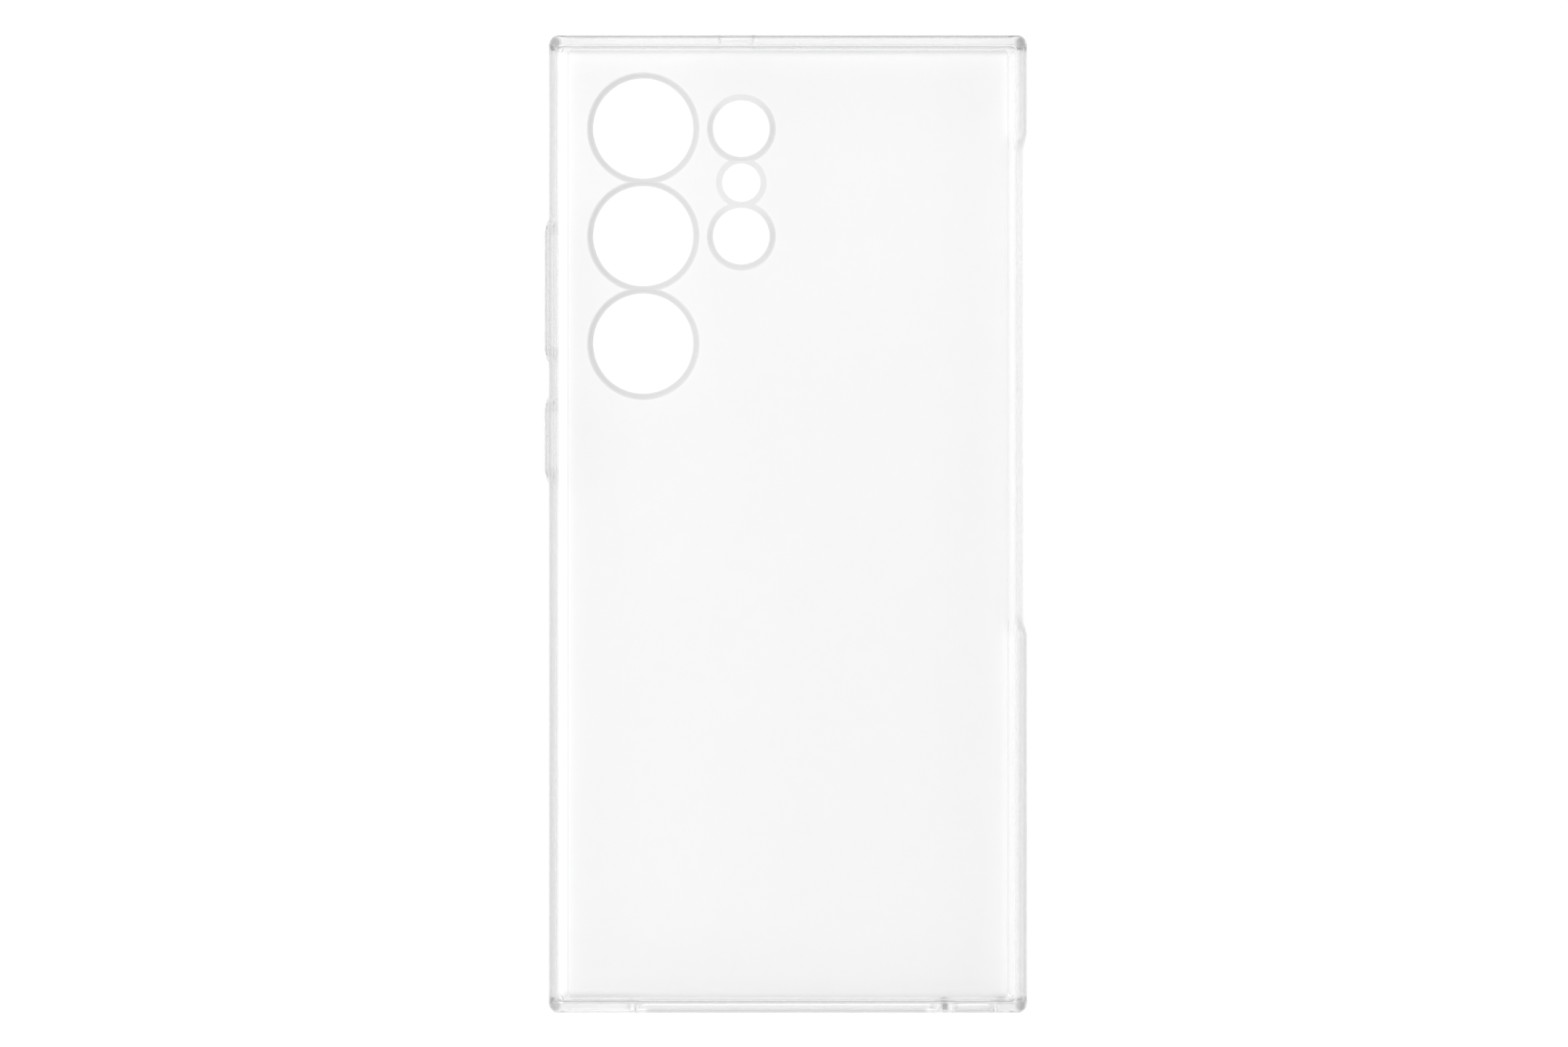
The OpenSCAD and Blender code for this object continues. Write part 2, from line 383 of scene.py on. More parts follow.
def side_rows():
    """Heights at which the long walls get a point, close together on the relief's ramps."""
    rows = [y * ROW_PITCH_Y for y in range(-ROWS_EACH_WAY, ROWS_EACH_WAY + 1)]
    for end, turn in ((RELIEF_TOP, 1), (RELIEF_BOTTOM, -1)):
        low, high = sorted((end, end + turn * RELIEF_RAMP))
        rows = [y for y in rows if not low - ROW_CLEARANCE < y < high + ROW_CLEARANCE]
        rows += even_steps(low, high, TURN_STEPS)
    return sorted(rows)


def frame_rings():
    """One closed ring round the case for each point of the wall's section."""
    long_wall = (PHONE_HALF_W, PANEL_SIDE_IN, SIDE_SHOULDER_R, SIDE_CAVITY_R, SIDE_LIP)
    key_side = section(KEY_WALL, *long_wall)
    plain_side = section(PLAIN_WALL, *long_wall)
    end = section(END_WALL, PHONE_HALF_H, PANEL_END_IN, END_SHOULDER_R, END_CAVITY_R, END_LIP)
    rows = side_rows()
    columns = [x * COLUMN_PITCH_X for x in range(-COLUMNS_EACH_WAY, COLUMNS_EACH_WAY + 1)]
    rings = []
    for i, radius in enumerate(CORNER_RADII):
        left, z_side = key_side[i]
        right = plain_side[i].x
        reach, z_end = end[i]
        outside = i <= FIRST_BOND
        inset = min((PLAIN_WALL - right) / PANEL_SIDE_IN, 1.0)
        ring = []
        for y in rows:
            share = relief_at(y)
            x = right - (RELIEF_DEPTH * share * (1 - inset) if outside else 0.0)
            z = z_side
            if outside and z_side <= RIM_R:
                z += RELIEF_RIM * share
            elif z_side < LIP_Z:
                z += RELIEF_RIM * share * (1 - z_side / LIP_Z)
            ring.append((x, y, z))
        for quarter, (width, sx, sy) in enumerate(((right, 1, 1), (left, -1, 1),
                                                    (left, -1, -1), (right, 1, -1))):
            for turn in quarter_turn(TURN_STEPS):
                angle = turn + quarter * math.pi / 2
                ring.append((sx * (width - radius) + radius * math.cos(angle),
                             sy * (reach - radius) + radius * math.sin(angle),
                             lerp(z_side, z_end, math.sin(angle) ** 2)))
            if quarter == 0:
                ring += [(x, reach, z_end) for x in reversed(columns)]
            if quarter == 1:
                ring += [(-left, y, z_side) for y in reversed(rows)]
            if quarter == 2:
                ring += [(x, -reach, z_end) for x in columns]
        rings.append(ring)
    return rings


def touches_tongue(face, points):
    """True for a face of the frame that is bonded to the panel or its tongue."""
    x, y, _ = sum((Vector(points[i]) for i in face), Vector()) / len(face)
    out_x = abs(x - MID_X) - (PANEL_HALF_W + TONGUE_W)
    out_y = abs(y) - (PANEL_HALF_H + TONGUE_W)
    if min(out_x, out_y) > -TONGUE_CORNER_R:
        from_centre = math.hypot(out_x + TONGUE_CORNER_R, out_y + TONGUE_CORNER_R)
        return from_centre < TONGUE_CORNER_R + BOND_GAP
    return max(out_x, out_y) < BOND_GAP


def flare(depth, thickness, outer_r, inner_r):
    """How much a hole widens at a depth from the wall's outer face, to round both its edges."""
    grow = 0.0
    if depth < outer_r:
        gap = outer_r - max(depth, 0.0)
        grow = outer_r - math.sqrt(outer_r ** 2 - gap ** 2)
    if depth > thickness - inner_r:
        gap = min(depth, thickness) - thickness + inner_r
        grow = max(grow, inner_r - math.sqrt(inner_r ** 2 - gap ** 2))
    return grow


def wall_cutter(name, outline_grown, thickness, outer_r, inner_r, place):
    """Tool for a hole with round edges; place turns (u, v, depth) into a point."""
    depths = [-TOOL_REACH]
    depths += [outer_r * (1 - math.cos(angle)) for angle in quarter_turn(EDGE_STEPS)]
    depths += [thickness - inner_r * (1 - math.sin(angle)) for angle in quarter_turn(EDGE_STEPS)]
    depths.append(thickness + TOOL_REACH)
    rings = []
    for depth in depths:
        grow = flare(depth, thickness, outer_r, inner_r)
        rings.append([place(u, v, depth) for u, v in outline_grown(grow)])
    points, faces, _ = skin(rings)
    return mesh_object(name, points, faces, [CUT_GROUP] * len(faces))


def end_hole(name, opening, top, edge_r, proud=0.0):
    """Tool for an opening in the top or the bottom wall."""
    def outline_grown(grow):
        return rounded_outline(opening.length / 2 + grow, opening.height / 2 + grow,
                               opening.radius + grow)

    def place(u, v, depth):
        reach = END_WALL + proud - depth
        return (opening.middle + u, reach if top else -reach, MID_Z + v)

    return wall_cutter(name, outline_grown, END_WALL - PHONE_HALF_H + proud, edge_r, edge_r, place)


def key_hole(name, web_node):
    """Tool for the opening that a key and its web fill."""
    middle, half_l, half_w, _, _ = island(web_node)

    def outline_grown(grow):
        return stadium(half_l, half_w, -grow, 14)

    def place(u, v, depth):
        return (-KEY_WALL + depth, middle + u, MID_Z + v)

    return wall_cutter(name, outline_grown, KEY_WALL - PHONE_HALF_W, GROOVE_EDGE_R,
                       GROOVE_EDGE_R / 2, place)


def mic_rim():
    """Low rounded rim round the microphone opening, sunk into the wall."""
    edge = MIC_RIM_T * 0.6
    levels = [(END_WALL - MIC_RIM_SUNK, MIC_RIM_W)]
    levels += [(END_WALL + MIC_RIM_T - edge + edge * math.sin(angle),
                MIC_RIM_W - edge + edge * math.cos(angle)) for angle in quarter_turn(EDGE_STEPS)]
    rings = []
    for y, grow in levels:
        outline = rounded_outline(MICROPHONE.length / 2 + grow, MICROPHONE.height / 2 + grow,
                                  MICROPHONE.radius + grow, 12)
        rings.append([(MICROPHONE.middle + u, y, MID_Z + v) for u, v in outline])
    return mesh_object("mic_rim", *skin(rings))


def build_frame():
    groups = [int(i in BOND_SPANS) for i in range(len(CORNER_RADII))]
    points, faces, marks = skin(frame_rings(), closed=True, groups=groups)
    marks = [int(mark and touches_tongue(face, points)) for mark, face in zip(marks, faces)]
    obj = mesh_object("clear_frame", points, faces, marks)
    combine(obj, mic_rim(), "UNION")
    combine(obj, key_hole("volume_hole", "volume_web"), "DIFFERENCE")
    combine(obj, key_hole("side_hole", "side_key_web"), "DIFFERENCE")
    combine(obj, end_hole("port_hole", PORT, False, MOUTH_R), "DIFFERENCE")
    combine(obj, end_hole("stylus_hole", STYLUS, False, MOUTH_R), "DIFFERENCE")
    combine(obj, end_hole("mic_hole", MICROPHONE, True, MIC_EDGE_R, MIC_RIM_T), "DIFFERENCE")
    finish_shading(obj, 38)
    return obj


# ---------------------------------------------------------------- panel

def panel_ring(grow_side, grow_end, z, radius):
    outline = rounded_outline(PANEL_HALF_W + grow_side, PANEL_HALF_H + grow_end, radius, 12)
    return [(MID_X + x, y, z) for x, y in outline]


def panel_blank():
    """Plate with a tongue along its lower edge, a hair inside the frame that it is bonded to."""
    side = TONGUE_W - BOND_GAP
    tongue_top = BACK_IN_Z + TONGUE_T - BOND_GAP
    rings = [
        panel_ring(side, TONGUE_W - END_CAVITY_R, BACK_IN_Z, CEILING_CORNER_R),
        panel_ring(side, side, BACK_IN_Z + BOND_GAP, TONGUE_CORNER_R - BOND_GAP),
        panel_ring(side, side, tongue_top, TONGUE_CORNER_R - BOND_GAP),
        panel_ring(-BOND_GAP, -BOND_GAP, tongue_top, PANEL_CORNER_R - BOND_GAP),
    ]
    groups = [BOND_GROUP] * len(rings)
    for angle in quarter_turn(SEAM_STEPS):
        inset = BOND_GAP + SEAM_R * (1 - math.cos(angle))
        rings.append(panel_ring(-inset, -inset, BACK_Z - SEAM_R * (1 - math.sin(angle)),
                                PANEL_CORNER_R - inset))
        groups.append(0)
    return mesh_object("hard_back", *skin(rings, groups=groups))


def circle(x, y, radius, z):
    angles = [2 * math.pi * k / CIRCLE_STEPS for k in range(CIRCLE_STEPS)]
    return [(x + radius * math.cos(a), y + radius * math.sin(a), z) for a in angles]


def bead(x, y, crest):
    """Half-round bead with a sloping outer foot, sunk into the plate."""
    foot = crest + BEAD_R + BEAD_FOOT
    profile = [(crest - BEAD_R, BACK_Z - BEAD_SUNK)]
    for degrees in range(0, 161, 10):
        angle = math.radians(degrees)
        profile.append((crest - BEAD_R * math.cos(angle), BACK_Z + BEAD_R * math.sin(angle)))
    profile += [(foot, BACK_Z - 0.01), (foot, BACK_Z - BEAD_SUNK)]
    rings = list(zip(*(circle(x, y, radius, z) for radius, z in profile)))
    return mesh_object("bead", *skin(rings, closed=True))


def aperture_tool(x, y, crest):
    """Tool for a camera aperture, with a round lower edge."""
    radius = crest - BEAD_R
    levels = [(radius + APERTURE_EDGE_R, BACK_IN_Z - TOOL_REACH)]
    levels += [(radius + APERTURE_EDGE_R * (1 - math.sin(angle)),
                BACK_IN_Z + APERTURE_EDGE_R * (1 - math.cos(angle)))
               for angle in quarter_turn(EDGE_STEPS)]
    levels.append((radius, BACK_Z + 2 * TOOL_REACH))
    return mesh_object("aperture_tool", *skin([circle(x, y, r, z) for r, z in levels]))


def build_panel():
    obj = panel_blank()
    for aperture in APERTURES:
        combine(obj, bead(*aperture), "UNION")
    for aperture in APERTURES:
        combine(obj, aperture_tool(*aperture), "DIFFERENCE")
    finish_shading(obj, 38)
    return obj


# ---------------------------------------------------------------- keys and webs

def build_key(name, node):
    """Soft-edged island: long edges and sloping ends blend into a gently crowned top."""
    middle, half_l, half_w, top, inside = island(node)
    rise = top - KEY_WALL

    def surface(u, v):
        end_gap = math.sqrt(KEY_END_R ** 2 - (KEY_END_R - rise) ** 2) - (half_l - abs(u))
        end = top - KEY_END_R + math.sqrt(KEY_END_R ** 2 - min(max(end_gap, 0.0), KEY_END_R) ** 2)
        side_gap = min(max(KEY_EDGE_R - (half_w - abs(v)), 0.0), KEY_EDGE_R)
        side = top - KEY_EDGE_R + math.sqrt(KEY_EDGE_R ** 2 - side_gap ** 2)
        lower = -math.log(math.exp(-end / KEY_BLEND) + math.exp(-side / KEY_BLEND))
        return KEY_BLEND * (lower + 0.02)

    rings = []
    for t in (0.0, 0.5, 1.0):
        x = lerp(inside, inside + KEY_FOOT_H, t)
        outline = stadium(half_l, half_w, KEY_FOOT_IN * (1 - smooth(t)), 12)
        rings.append([(-x, middle + u, MID_Z + v) for u, v in outline])
    for angle in quarter_turn(KEY_RINGS):
        outline = stadium(half_l, half_w, (half_w - KEY_RIDGE_HALF) * (1 - math.cos(angle)), 12)
        rings.append([(-max(surface(u, v), inside + KEY_LOWEST), middle + u, MID_Z + v)
                      for u, v in outline])
    points, faces, _ = skin(rings)
    obj = mesh_object(name, points, faces)
    finish_shading(obj, 60)
    return obj


def build_web(name, node, key_node):
    """Thin ring with a rounded trough between the wall and a key."""
    middle, half_l, half_w, top, bottom = island(node)
    width = half_w - island(key_node)[2]
    shape = []
    for k in range(WEB_STEPS + 1):
        t = k / WEB_STEPS
        shape.append((lerp(WEB_GAP, width - WEB_GAP, t), top - WEB_TROUGH * math.sin(math.pi * t)))
    for k in range(WEB_STEPS + 1):
        t = k / WEB_STEPS
        shape.append((lerp(width - WEB_GAP, WEB_GAP, t),
                      bottom + WEB_TROUGH / 2 * (1 - math.sin(math.pi * t))))
    rings = [[(-x, middle + u, MID_Z + v) for u, v in stadium(half_l, half_w, inset, 14)]
             for inset, x in shape]
    points, faces, _ = skin(rings, closed=True)
    obj = mesh_object(name, points, faces)
    finish_shading(obj, 60)
    return obj


# ---------------------------------------------------------------- nodes

# Sockets of a Mix node that hold colours
MIX_FIRST, MIX_SECOND, MIX_RESULT = 6, 7, 2


class Nodes:
    """Short names for the nodes of one tree. Values are sockets or numbers; 1 is clear."""

    def __init__(self, tree):
        self.tree = tree

    def put(self, value, socket):
        """Links a value to a socket, or sets it there."""
        if not isinstance(value, (int, float)):
            self.tree.links.new(value, socket)
        elif socket.type == "RGBA":
            socket.default_value = (value, value, value, 1)
        else:
            socket.default_value = value

    def math(self, operation, *values):
        node = self.tree.nodes.new("ShaderNodeMath")
        node.operation = operation
        for value, socket in zip(values, node.inputs):
            self.put(value, socket)
        return node.outputs[0]

    def minus(self, first, second):
        return self.math("SUBTRACT", first, second)

    def times(self, first, second):
        return self.math("MULTIPLY", first, second)

    def size(self, value):
        return self.math("ABSOLUTE", value)

    def above(self, value, limit):
        """1 above the limit and 0 below it."""
        return self.math("GREATER_THAN", value, limit)

    def below(self, value, limit):
        return self.math("LESS_THAN", value, limit)

    def distance(self, across, along):
        return self.math("SQRT", self.math("ADD", self.math("POWER", across, 2.0),
                                           self.math("POWER", along, 2.0)))

    def mix(self, share, first, second, blend="MIX"):
        node = self.tree.nodes.new("ShaderNodeMix")
        node.data_type = "RGBA"
        node.blend_type = blend
        self.put(share, node.inputs["Factor"])
        self.put(first, node.inputs[MIX_FIRST])
        self.put(second, node.inputs[MIX_SECOND])
        return node.outputs[MIX_RESULT]

    def product(self, first, second):
        return self.mix(1.0, first, second, "MULTIPLY")

    def ramp(self, value, stops):
        """Colour ramp; stops are (position, colour)."""
        node = self.tree.nodes.new("ShaderNodeValToRGB")
        elements = node.color_ramp.elements
        while len(elements) < len(stops):
            elements.new(0.5)
        for element, (position, colour) in zip(elements, stops):
            element.position = position
            element.color = (*colour, 1)
        self.put(value, node.inputs[0])
        return node.outputs[0]

    def grey(self, value, low, high, *stops):
        """Grey ramp over a value between low and high; stops are (value, level)."""
        share = self.math("DIVIDE", self.minus(value, low), high - low)
        return self.ramp(share, [((at - low) / (high - low), (level,) * 3) for at, level in stops])

    def surface(self):
        """Place in millimetres (x, y, z) and size of the normal's parts (nx, ny, nz)."""
        coordinates = self.tree.nodes.new("ShaderNodeTexCoord")
        geometry = self.tree.nodes.new("ShaderNodeNewGeometry")
        place = self.tree.nodes.new("ShaderNodeSeparateXYZ")
        facing = self.tree.nodes.new("ShaderNodeSeparateXYZ")
        self.put(coordinates.outputs["Object"], place.inputs[0])
        self.put(geometry.outputs["Normal"], facing.inputs[0])
        at = SimpleNamespace()
        for axis in "XYZ":
            setattr(at, axis.lower(), self.times(place.outputs[axis], 1 / MM))
            setattr(at, "n" + axis.lower(), self.size(facing.outputs[axis]))
        return at


# ---------------------------------------------------------------- painted shades by place and slope

# Painted shade on the upright outer walls
WALL_PAINTED_SHADE = 0.62

# How far outside the pocket the outer part of a long wall starts
WALL_OUTER = 0.35

# How far from a face the shade of that face reaches
FACE_REACH = 0.1

# Middle of the round spot of painted shade at each corner of the shell, a little in from the
# walls' faces
CORNER_PAINTED_SPOT = (MID_X + KEY_WALL - 1.15, END_WALL - 1.25)

# Round spots of painted shade at the posts of the bottom wall and the keys' ends: x, y, level and
# reach
PORT_END = PORT.length / 2
STYLUS_START = STYLUS.middle - STYLUS.length / 2
STYLUS_END = STYLUS.middle + STYLUS.length / 2
PAINTED_SHADE_SPOTS = [
    (-PORT_END - 0.2, 1.15 - END_WALL, 0.9, 0.6),
    ((PORT_END + STYLUS_START) / 2 - 0.2, 1.2 - END_WALL, 0.6, 0.95),
    (STYLUS_END + 0.6, 2.1 - END_WALL, 0.85, 1.0),
]
KEY_END_IN = 2.35
for web_node in ("volume_web", "side_key_web"):
    web_low, web_high = box_mm(web_node)
    PAINTED_SHADE_SPOTS.append((0.45 - KEY_WALL, web_low.y + KEY_END_IN, 0.84, 1.2))
    PAINTED_SHADE_SPOTS.append((0.45 - KEY_WALL, web_high.y - KEY_END_IN, 0.84, 1.2))


def bead_painted_shade(n, at):
    """Painted shade on the raised beads, darker towards the crest and uneven round each aperture
    as the light falls.
    """
    from_top = n.minus(at.y, TOP_ROW_Y)
    row = n.math("ROUND", n.math("DIVIDE", from_top, ROW_PITCH))
    up = n.minus(from_top, n.times(row, ROW_PITCH))
    right = n.minus(at.x, LARGE_X)
    large = n.product(n.grey(right, -LARGE_R, LARGE_R, (-LARGE_R, 0.53), (LARGE_R, 0.67)),
                      n.grey(up, -LARGE_R, LARGE_R, (-LARGE_R, 1.0), (LARGE_R, 0.93)))
    small = n.grey(up, -SMALL_R, SMALL_R, (-SMALL_R, 0.66), (-SMALL_R / 2, 0.62), (0, 0.58),
                   (SMALL_R * 0.6, 0.66), (SMALL_R, 0.78))
    near_flash = n.below(n.size(n.minus(at.y, FLASH_Y)), FLASH_R)
    small = n.mix(near_flash, small, 0.76)
    near_small = n.above(at.x, COLUMN_SPLIT_X)
    raised = n.grey(at.z, BACK_Z, BACK_Z + BEAD_R, (BACK_Z + 0.02, 0), (BACK_Z + 0.12, 0.45),
                    (BACK_Z + 0.32, 0.72), (BACK_Z + 0.45, 0.93), (BACK_Z + 0.49, 1))
    return n.mix(raised, 1, n.mix(near_small, large, small))


def shoulder_painted_shade(n, at):
    """Painted shade on the outer shoulders, set by their slope, most at the top and on the key
    side.
    """
    def by_slope(*stops):
        return n.grey(at.nz, 0, 1, (0, WALL_PAINTED_SHADE), *stops)

    key_side = by_slope((0.06, 0.49), (0.45, 0.56), (0.92, 1))
    slim = by_slope((0.06, 0.64), (0.3, 0.72), (0.5, 0.79), (0.75, 0.89), (0.9, 1))
    thick = by_slope((0.06, 0.8), (0.3, 0.72), (0.6, 0.6), (0.78, 0.62), (0.86, 0.86), (0.93, 1))
    top = by_slope((0.06, 0.27), (0.78, 0.39), (0.97, 1))
    shut = by_slope((0.06, 0.8), (0.7, 0.8), (0.95, 1))
    open_end = by_slope((0.06, 0.54), (0.6, 0.6), (0.92, 0.48), (0.98, 0.8), (1, 1))

    port_flat = PORT_END - PORT.radius
    over_port = n.grey(n.size(at.x), 20, 30, (port_flat - 0.4, 1), (port_flat + 0.4, 0))
    over_stylus = n.grey(n.size(n.minus(at.x, STYLUS.middle)), 0, 8, (2.8, 1), (3.6, 0))
    bottom = n.mix(n.math("MAXIMUM", over_port, over_stylus), shut, open_end)
    full = n.grey(at.y, -END_WALL, END_WALL, (RELIEF_BOTTOM - RELIEF_RAMP, 1), (RELIEF_BOTTOM, 0),
                  (RELIEF_TOP, 0), (RELIEF_TOP + RELIEF_RAMP, 1))
    side = n.mix(n.above(at.x, 0.0), key_side, n.mix(full, slim, thick))
    end = n.mix(n.above(at.y, 0.0), bottom, top)

    across = n.math("POWER", at.nx, 2.0)
    along = n.math("POWER", at.ny, 2.0)
    total = n.math("ADD", n.math("ADD", across, along), 1e-4)
    shade = n.mix(n.math("DIVIDE", across, total), end, side)
    reach = n.size(n.minus(at.x, MID_X))
    wall = n.math("MINIMUM", n.minus(reach, PHONE_HALF_W + WALL_OUTER), n.minus(at.z, MID_Z))
    roof = n.minus(at.z, BACK_IN_Z + FACE_REACH)
    outside = n.above(n.math("MAXIMUM", wall, roof), 0.0)
    return n.mix(outside, 1, shade)


def key_painted_shade(n, at):
    """Painted shade on the steep parts of a key."""
    return n.grey(at.nz, 0, 1, (0, 1), (0.06, 0.98), (0.5, 1), (0.9, 1))


def spot(n, x, y, middle, level, reach):
    """Round spot of painted shade on the plan, even in its inner half and fading out at its reach.
    """
    away = n.distance(n.minus(x, middle[0]), n.minus(y, middle[1]))
    return n.grey(away, 0, 2, (0, level), (reach / 2, level), (reach, 1))


def corner_painted_shade(n, at):
    """Painted shade in a round spot on the diagonal of each corner of the wall, darker at the top.
    """
    across = n.size(n.minus(at.x, MID_X))
    along = n.size(at.y)
    top = spot(n, across, along, CORNER_PAINTED_SPOT, 0.36, 1.2)
    bottom = spot(n, across, along, CORNER_PAINTED_SPOT, 0.48, 1.15)
    return n.mix(n.above(at.y, 0.0), bottom, top)


def spots_painted_shade(n, at):
    """Painted shade at the posts of the bottom wall and at the sloping ends of the keys."""
    shade = 1.0
    for x, y, level, reach in PAINTED_SHADE_SPOTS:
        shade = n.product(shade, spot(n, at.x, at.y, (x, y), level, reach))
    return shade


def seam_painted_shade(n, at):
    """Painted shade in bands across the short ends, over the tongue's edge inside and on the back,
    most at the bottom.
    """
    along = n.size(at.y)

    def band(*stops):
        return n.grey(along, 79, 83, *stops)

    bottom_in = band((80.6, 1), (80.85, 0.9), (81.1, 0.74), (81.3, 0.58), (81.65, 0.53), (81.8, 1))
    top_in = band((80.6, 1), (80.8, 0.96), (81.03, 0.84), (81.28, 0.6), (81.65, 0.54), (81.8, 1))
    bottom_out = band((81.15, 1), (81.3, 0.54), (81.55, 0.54), (81.75, 1))
    top_out = band((81.15, 1), (81.35, 0.7), (81.6, 0.7), (81.8, 1))
    is_top = n.above(at.y, 0.0)
    ceiling = n.times(n.above(at.z, MID_Z), n.below(at.z, BACK_IN_Z + FACE_REACH))
    back = n.above(at.z, BACK_Z - FACE_REACH)
    inner = n.mix(ceiling, 1, n.mix(is_top, bottom_in, top_in))
    return n.mix(back, inner, n.mix(is_top, bottom_out, top_out))


def plate_painted_light_and_shade(n, at):
    """Painted light and shade on the plate: lighter along its long edges, darker near both ends
    and a little darker to the right.
    """
    level = n.grey(n.minus(at.x, MID_X), -39, 39, (-37.6, 1), (-36.9, 0.965), (-36.2, 0.945),
                   (-32, 0.95), (-20, 0.95), (0, 0.943), (24, 0.943), (32, 0.935), (36.2, 0.932),
                   (36.9, 0.955), (37.6, 1))
    height = n.grey(at.y, -END_WALL, END_WALL, (-80.8, 0.9), (-80, 0.94), (-79, 0.965),
                    (-76.8, 1), (0, 1), (60, 1), (76, 0.992), (80.1, 1), (80.7, 0.88))
    return n.product(level, height)


# ---------------------------------------------------------------- materials

# Polish and tint differ slightly from place to place
POLISH_SCALE = 60.0
POLISH_DETAIL = 3.0
TINT_SPREAD = 0.004
BLUE_CAST = 0.002


def new_material(name):
    material = bpy.data.materials.new(name)
    material.use_nodes = True
    return material, Nodes(material.node_tree), material.node_tree.nodes["Principled BSDF"]


def length_tint(n, per_metre):
    """White at the surface, darker with the length of plastic that the light has come through."""
    path = n.tree.nodes.new("ShaderNodeLightPath")
    geometry = n.tree.nodes.new("ShaderNodeNewGeometry")
    inside = n.times(path.outputs["Ray Length"], geometry.outputs["Backfacing"])
    return n.math("EXPONENT", n.times(inside, -per_metre))


def clear_plastic(name, tint, density, polish, painted_shades=()):
    """Clear moulding: tinted by its depth and by painted shades, with slight differences in
    polish.

    Density is the tint per metre of plastic, and polish the least and the most roughness.
    """
    material, n, shader = new_material(name)
    shader.inputs["IOR"].default_value = 1.5
    shader.inputs["Transmission Weight"].default_value = 1.0
    place = n.tree.nodes.new("ShaderNodeTexCoord")
    noise = n.tree.nodes.new("ShaderNodeTexNoise")
    noise.inputs["Scale"].default_value = POLISH_SCALE
    noise.inputs["Detail"].default_value = POLISH_DETAIL
    n.put(place.outputs["Object"], noise.inputs["Vector"])
    spread = n.tree.nodes.new("ShaderNodeMapRange")
    spread.inputs["To Min"].default_value, spread.inputs["To Max"].default_value = polish
    n.put(noise.outputs["Fac"], spread.inputs["Value"])
    n.put(spread.outputs[0], shader.inputs["Roughness"])
    light = (tint, tint, tint + BLUE_CAST)
    dull = [part - TINT_SPREAD for part in light]
    colour = n.ramp(noise.outputs["Fac"], [(0.3, light), (0.7, dull)])
    at = n.surface()
    for shade in painted_shades:
        colour = n.product(colour, shade(n, at))
    n.put(n.product(colour, length_tint(n, density)), shader.inputs["Base Color"])
    return material


def bond_line(name):
    """The two plastics are moulded together here, so light passes straight through."""
    material, _, shader = new_material(name)
    shader.inputs["Base Color"].default_value = (0.9, 0.9, 0.9, 1)
    shader.inputs["Alpha"].default_value = 0.0
    return material


# ---------------------------------------------------------------- stage

# The paper lies a hair below the case, so that their faces don't meet
FLOOR_SIZE_M = 30
FLOOR_GAP = 0.3

# The sky's levels run from the horizon (0) to straight overhead (1)
SKY_STRENGTH = 1.52
SKY_LEVELS = [(0.0, 0.4), (0.15, 0.5), (0.45, 0.75), (0.7, 1.0), (0.85, 1.0), (1.0, 0.72)]

# The camera looks at (VIEW_X, VIEW_Y), and its view is VIEW_HEIGHT_M high at the back's height
CAMERA_DISTANCE_M = 3.0
VIEW_HEIGHT_M = 0.1782
VIEW_X = -0.43
VIEW_Y = 0.09
SENSOR_WIDTH = 36


def build_floor():
    """White paper whose colour holds a painted pool of light, painted a little darker towards the
    lower right.
    """
    bpy.ops.mesh.primitive_plane_add(size=FLOOR_SIZE_M, location=(0, 0, -FLOOR_GAP * MM))
    floor = bpy.context.object
    floor.name = "floor"
    material, n, shader = new_material("floor_paper")
    at = n.surface()
    slant = n.minus(at.y, n.times(at.x, 0.1))
    level = n.grey(slant, -120, 120, (-90, 0.848), (20, 0.858), (80, 0.885))
    pool = n.grey(n.distance(at.x, at.y), 0, 1000, (180, 1), (300, 0.9), (600, 0.72), (1000, 0.66))
    n.put(n.product(level, pool), shader.inputs["Base Color"])
    shader.inputs["Roughness"].default_value = 1.0
    shader.inputs["Specular IOR Level"].default_value = 0.0
    floor.data.materials.append(material)


def build_sky():
    """Soft white dome, brightest three quarters of the way up and dimmest at the horizon."""
    world = bpy.data.worlds.new("studio")
    bpy.context.scene.world = world
    world.use_nodes = True
    n = Nodes(world.node_tree)
    background = world.node_tree.nodes["Background"]
    place = n.tree.nodes.new("ShaderNodeTexCoord")
    split = n.tree.nodes.new("ShaderNodeSeparateXYZ")
    n.put(place.outputs["Generated"], split.inputs[0])
    n.put(n.ramp(split.outputs["Z"], [(height, (level,) * 3) for height, level in SKY_LEVELS]),
          background.inputs["Color"])
    background.inputs["Strength"].default_value = SKY_STRENGTH


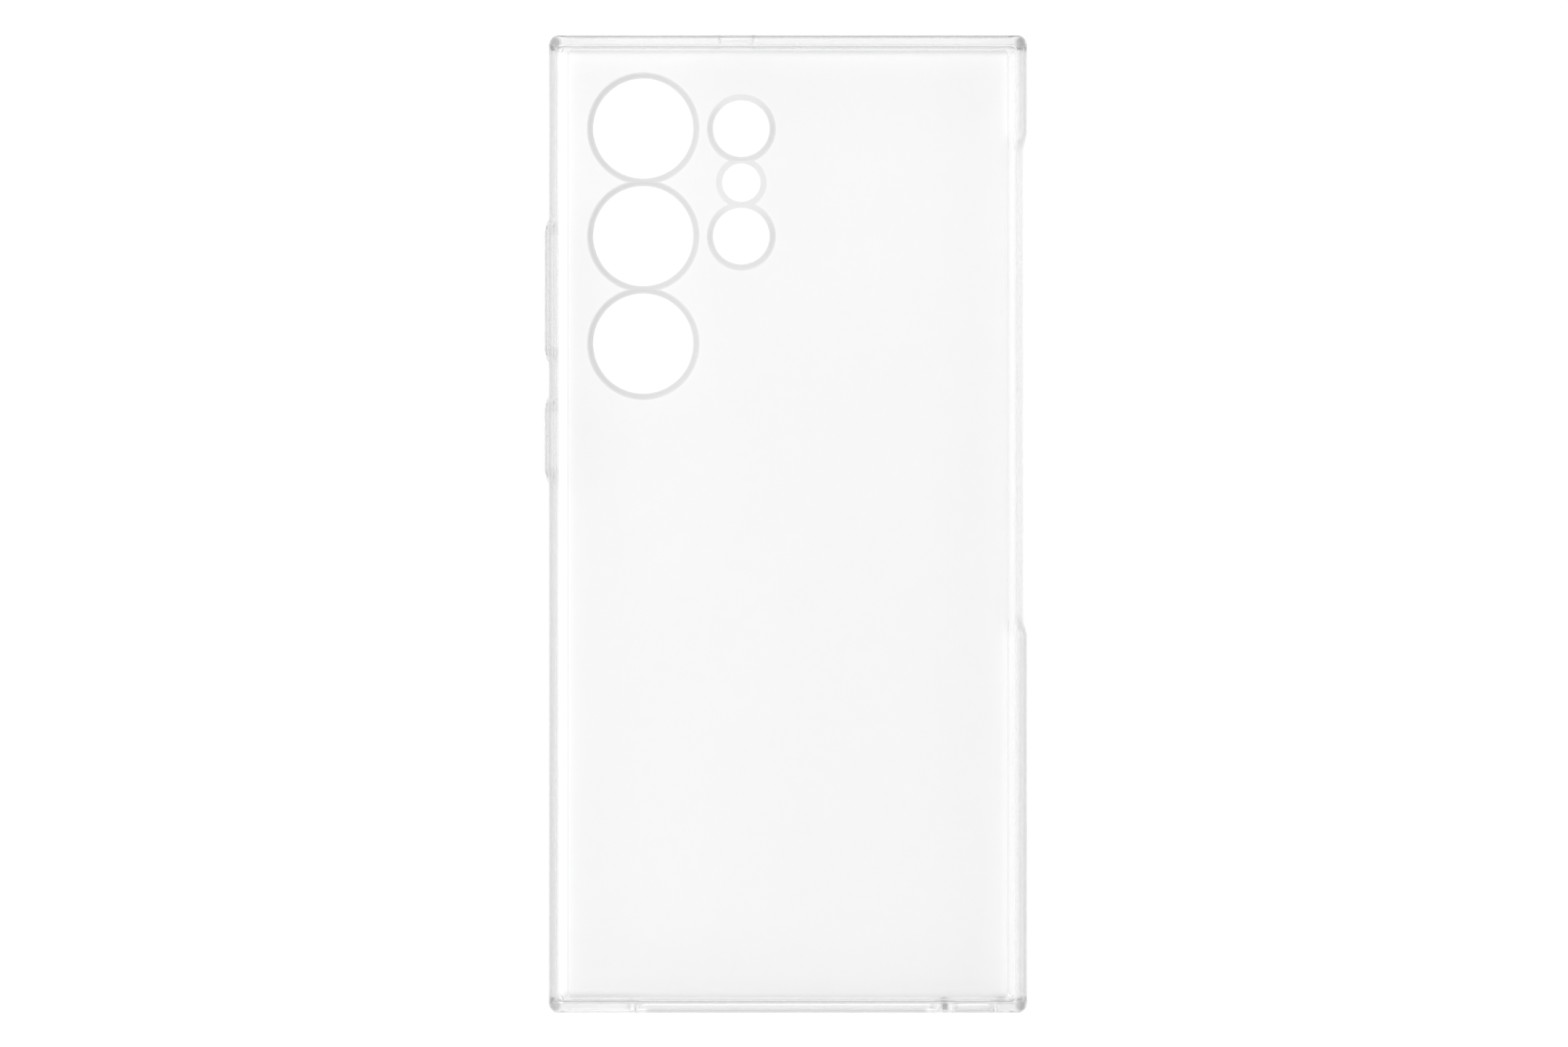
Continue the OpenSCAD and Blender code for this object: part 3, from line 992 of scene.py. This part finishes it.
def build_camera():
    """Straight down on the back, from far enough away that no wall shows its side."""
    data = bpy.data.cameras.new("camera")
    camera = bpy.data.objects.new("camera", data)
    bpy.context.collection.objects.link(camera)
    bpy.context.scene.camera = camera
    data.sensor_width = SENSOR_WIDTH
    data.lens = SENSOR_WIDTH * CAMERA_DISTANCE_M / (VIEW_HEIGHT_M * 2160 / 1442)
    data.clip_end = 100
    camera.location = (VIEW_X * MM, VIEW_Y * MM, CAMERA_DISTANCE_M + BACK_Z * MM)


# ---------------------------------------------------------------- all together

# The shades of these plastics are painted light and shade in their colour
hard = clear_plastic("clear_polycarbonate", 0.99, 20, (0.0, 0.02), [plate_painted_light_and_shade, bead_painted_shade])
soft = clear_plastic("clear_elastomer", 0.99, 5, (0.1, 0.15),
                     [shoulder_painted_shade, corner_painted_shade, seam_painted_shade, spots_painted_shade])
key = clear_plastic("clear_elastomer_key", 0.98, 5, (0.08, 0.12), [key_painted_shade])
# The webs' darker tint is painted shade at the roots of the keys
web = clear_plastic("clear_elastomer_web", 0.82, 5, (0.12, 0.18))
# The cut faces' tint is painted shade round the openings
cut = clear_plastic("clear_elastomer_cut", 0.94, 5, (0.12, 0.18))
bond = bond_line("bond_line")

PIECES = [
    (build_panel(), "back_panel", "case", "clear_polycarbonate", hard),
    (build_frame(), "bumper_frame", "case", "clear_elastomer", soft),
    (build_key("volume_cover", "volume_bar"), "volume_bar", "volume", "clear_elastomer_key", key),
    (build_key("side_cover", "side_key"), "side_key", "side", "clear_elastomer_key", key),
    (build_web("volume_trough", "volume_web", "volume_bar"), "volume_web", "case",
     "clear_elastomer_web", web),
    (build_web("side_trough", "side_key_web", "side_key"), "side_key_web", "case",
     "clear_elastomer_web", web),
]
for piece, node, body, slot, material in PIECES:
    slots = piece.data.materials
    if slots:
        slots[0], slots[BOND_GROUP], slots[CUT_GROUP] = material, bond, cut
    else:
        slots.append(material)
    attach(piece, body)
    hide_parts(node)

build_floor()
build_sky()
build_camera()

# The light is passed on many times inside clear plastic before it comes out
scene = bpy.context.scene
scene.view_settings.view_transform = "Standard"
scene.cycles.blur_glossy = 0.0
scene.cycles.max_bounces = 96
scene.cycles.glossy_bounces = 72
scene.cycles.transmission_bounces = 48
scene.cycles.transparent_max_bounces = 24
